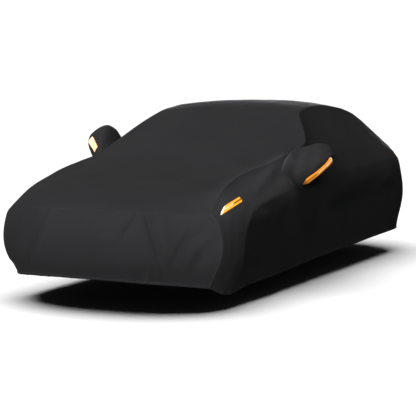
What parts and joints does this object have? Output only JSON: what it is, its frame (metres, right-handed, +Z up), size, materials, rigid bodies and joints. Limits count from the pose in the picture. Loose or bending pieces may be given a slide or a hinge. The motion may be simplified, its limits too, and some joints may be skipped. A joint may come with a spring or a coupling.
{
  "type": "fitted car cover",
  "caption": "Fitted stretch cover of dark cloth, draped in the shape of a low fastback car, hollow below, with mirror pockets and orange reflective strips.",
  "frame": {"origin": "the point under the middle of the roof panel where the covered roof holds the cover up", "axes": "+Z up, -Y towards the front of the covered car, +X towards its left side"},
  "size_m": [2.1923, 4.8651, 1.315],
  "materials": {
    "cloth": "matte fine knit with a soft sheen",
    "pocket_cloth": "matte fine knit with a soft sheen",
    "reflective_tape": "woven tape, orange with a silver middle band"
  },
  "bodies": {
    "root": {"top_panel": "cloth", "left_panel": "cloth", "right_panel": "cloth", "front_panel": "cloth", "rear_panel": "cloth", "left_mirror_pocket": "pocket_cloth", "right_mirror_pocket": "pocket_cloth", "front_left_strip": "reflective_tape", "front_right_strip": "reflective_tape", "left_mirror_strip": "reflective_tape", "right_mirror_strip": "reflective_tape", "rear_left_strip": "reflective_tape", "rear_right_strip": "reflective_tape"}
  },
  "joints": []
}
